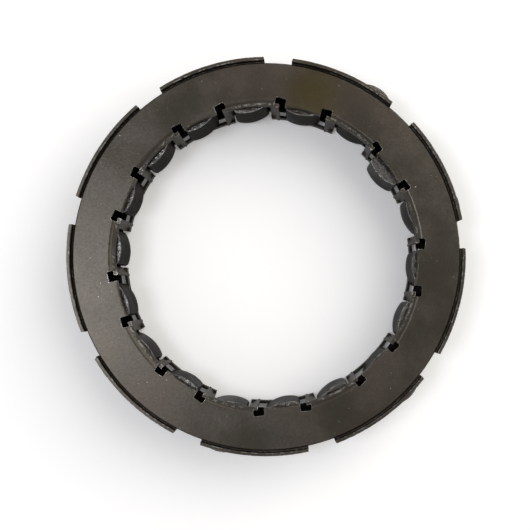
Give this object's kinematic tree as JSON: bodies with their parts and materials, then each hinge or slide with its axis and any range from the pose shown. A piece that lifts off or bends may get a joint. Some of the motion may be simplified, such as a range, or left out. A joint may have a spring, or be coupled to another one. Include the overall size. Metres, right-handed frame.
{
  "type": "sprag clutch",
  "caption": "Double-cage sprag clutch ring: rocking cam sprags held between two windowed steel cages, so that a hub in the middle turns one way only.",
  "frame": {"origin": "centre of the clutch axis, in the plane of the outer cage's flat floor", "axes": "+Z along the clutch axis from the floor to the flange and the lips, +X 16 degrees clockwise of the first sprag seen from +Z"},
  "size_m": [0.0634, 0.0634, 0.0137],
  "materials": {
    "cage_steel": "satin, oiled, dark warm grey",
    "sprag_steel": "ground and hardened, dark graphite with bright wear",
    "spring_steel": "blued spring strip"
  },
  "bodies": {
    "outer_cage": {"outer_cage": "cage_steel", "ribbon_spring": "spring_steel"},
    "inner_cage": {"inner_cage": "cage_steel"},
    "sprag_01": {"sprag_01": "sprag_steel"},
    "sprag_02": {"sprag_02": "sprag_steel"},
    "sprag_03": {"sprag_03": "sprag_steel"},
    "sprag_04": {"sprag_04": "sprag_steel"},
    "sprag_05": {"sprag_05": "sprag_steel"},
    "sprag_06": {"sprag_06": "sprag_steel"},
    "sprag_07": {"sprag_07": "sprag_steel"},
    "sprag_08": {"sprag_08": "sprag_steel"},
    "sprag_09": {"sprag_09": "sprag_steel"},
    "sprag_10": {"sprag_10": "sprag_steel"},
    "sprag_11": {"sprag_11": "sprag_steel"},
    "sprag_12": {"sprag_12": "sprag_steel"},
    "sprag_13": {"sprag_13": "sprag_steel"},
    "sprag_14": {"sprag_14": "sprag_steel"},
    "sprag_15": {"sprag_15": "sprag_steel"},
    "sprag_16": {"sprag_16": "sprag_steel"},
    "sprag_17": {"sprag_17": "sprag_steel"},
    "sprag_18": {"sprag_18": "sprag_steel"}
  },
  "joints": [
    {"name": "inner_cage_turn", "type": "hinge", "parent": "outer_cage", "child": "inner_cage", "pos_m": [0, 0, 0], "axis": [0, 0, 1], "range_deg": [-0.3, 1.15], "stiffness_Nm_per_rad": 0.5},
    {"name": "sprag_01_rock", "type": "hinge", "parent": "outer_cage", "child": "sprag_01", "pos_m": [0.02653, 0.00761, 0.0064], "axis": [0, 0, 1], "range_deg": [-10, 3]},
    {"name": "sprag_02_rock", "type": "hinge", "parent": "outer_cage", "child": "sprag_02", "pos_m": [0.02112, 0.01534, 0.0064], "axis": [0, 0, 1], "range_deg": [-10, 3]},
    {"name": "sprag_03_rock", "type": "hinge", "parent": "outer_cage", "child": "sprag_03", "pos_m": [0.01569, 0.02325, 0.0064], "axis": [0, 0, 1], "range_deg": [-10, 3]},
    {"name": "sprag_04_rock", "type": "hinge", "parent": "outer_cage", "child": "sprag_04", "pos_m": [0.00658, 0.02639, 0.0064], "axis": [0, 0, 1], "range_deg": [-10, 3]},
    {"name": "sprag_05_rock", "type": "hinge", "parent": "outer_cage", "child": "sprag_05", "pos_m": [-0.00284, 0.02705, 0.0064], "axis": [0, 0, 1], "range_deg": [-10, 3]},
    {"name": "sprag_06_rock", "type": "hinge", "parent": "outer_cage", "child": "sprag_06", "pos_m": [-0.01192, 0.02445, 0.0064], "axis": [0, 0, 1], "range_deg": [-10, 3]},
    {"name": "sprag_07_rock", "type": "hinge", "parent": "outer_cage", "child": "sprag_07", "pos_m": [-0.01957, 0.01889, 0.0064], "axis": [0, 0, 1], "range_deg": [-10, 3]},
    {"name": "sprag_08_rock", "type": "hinge", "parent": "outer_cage", "child": "sprag_08", "pos_m": [-0.02485, 0.01106, 0.0064], "axis": [0, 0, 1], "range_deg": [-10, 3]},
    {"name": "sprag_09_rock", "type": "hinge", "parent": "outer_cage", "child": "sprag_09", "pos_m": [-0.02713, 0.0019, 0.0064], "axis": [0, 0, 1], "range_deg": [-10, 3]},
    {"name": "sprag_10_rock", "type": "hinge", "parent": "outer_cage", "child": "sprag_10", "pos_m": [-0.02615, -0.0075, 0.0064], "axis": [0, 0, 1], "range_deg": [-10, 3]},
    {"name": "sprag_11_rock", "type": "hinge", "parent": "outer_cage", "child": "sprag_11", "pos_m": [-0.02233, -0.01622, 0.0064], "axis": [0, 0, 1], "range_deg": [-10, 3]},
    {"name": "sprag_12_rock", "type": "hinge", "parent": "outer_cage", "child": "sprag_12", "pos_m": [-0.01521, -0.02255, 0.0064], "axis": [0, 0, 1], "range_deg": [-10, 3]},
    {"name": "sprag_13_rock", "type": "hinge", "parent": "outer_cage", "child": "sprag_13", "pos_m": [-0.00669, -0.02683, 0.0064], "axis": [0, 0, 1], "range_deg": [-10, 3]},
    {"name": "sprag_14_rock", "type": "hinge", "parent": "outer_cage", "child": "sprag_14", "pos_m": [0.00284, -0.02705, 0.0064], "axis": [0, 0, 1], "range_deg": [-10, 3]},
    {"name": "sprag_15_rock", "type": "hinge", "parent": "outer_cage", "child": "sprag_15", "pos_m": [0.01192, -0.02445, 0.0064], "axis": [0, 0, 1], "range_deg": [-10, 3]},
    {"name": "sprag_16_rock", "type": "hinge", "parent": "outer_cage", "child": "sprag_16", "pos_m": [0.01989, -0.01921, 0.0064], "axis": [0, 0, 1], "range_deg": [-10, 3]},
    {"name": "sprag_17_rock", "type": "hinge", "parent": "outer_cage", "child": "sprag_17", "pos_m": [0.02485, -0.01106, 0.0064], "axis": [0, 0, 1], "range_deg": [-10, 3]},
    {"name": "sprag_18_rock", "type": "hinge", "parent": "outer_cage", "child": "sprag_18", "pos_m": [0.02713, -0.0019, 0.0064], "axis": [0, 0, 1], "range_deg": [-10, 3]}
  ],
  "couplings": [
    {"joint": "sprag_01_rock", "follows": "inner_cage_turn", "ratio": -8.5439},
    {"joint": "sprag_02_rock", "follows": "inner_cage_turn", "ratio": -8.5439},
    {"joint": "sprag_03_rock", "follows": "inner_cage_turn", "ratio": -8.5439},
    {"joint": "sprag_04_rock", "follows": "inner_cage_turn", "ratio": -8.5439},
    {"joint": "sprag_05_rock", "follows": "inner_cage_turn", "ratio": -8.5439},
    {"joint": "sprag_06_rock", "follows": "inner_cage_turn", "ratio": -8.5439},
    {"joint": "sprag_07_rock", "follows": "inner_cage_turn", "ratio": -8.5439},
    {"joint": "sprag_08_rock", "follows": "inner_cage_turn", "ratio": -8.5439},
    {"joint": "sprag_09_rock", "follows": "inner_cage_turn", "ratio": -8.5439},
    {"joint": "sprag_10_rock", "follows": "inner_cage_turn", "ratio": -8.5439},
    {"joint": "sprag_11_rock", "follows": "inner_cage_turn", "ratio": -8.5439},
    {"joint": "sprag_12_rock", "follows": "inner_cage_turn", "ratio": -8.5439},
    {"joint": "sprag_13_rock", "follows": "inner_cage_turn", "ratio": -8.5439},
    {"joint": "sprag_14_rock", "follows": "inner_cage_turn", "ratio": -8.5439},
    {"joint": "sprag_15_rock", "follows": "inner_cage_turn", "ratio": -8.5439},
    {"joint": "sprag_16_rock", "follows": "inner_cage_turn", "ratio": -8.5439},
    {"joint": "sprag_17_rock", "follows": "inner_cage_turn", "ratio": -8.5439},
    {"joint": "sprag_18_rock", "follows": "inner_cage_turn", "ratio": -8.5439}
  ]
}
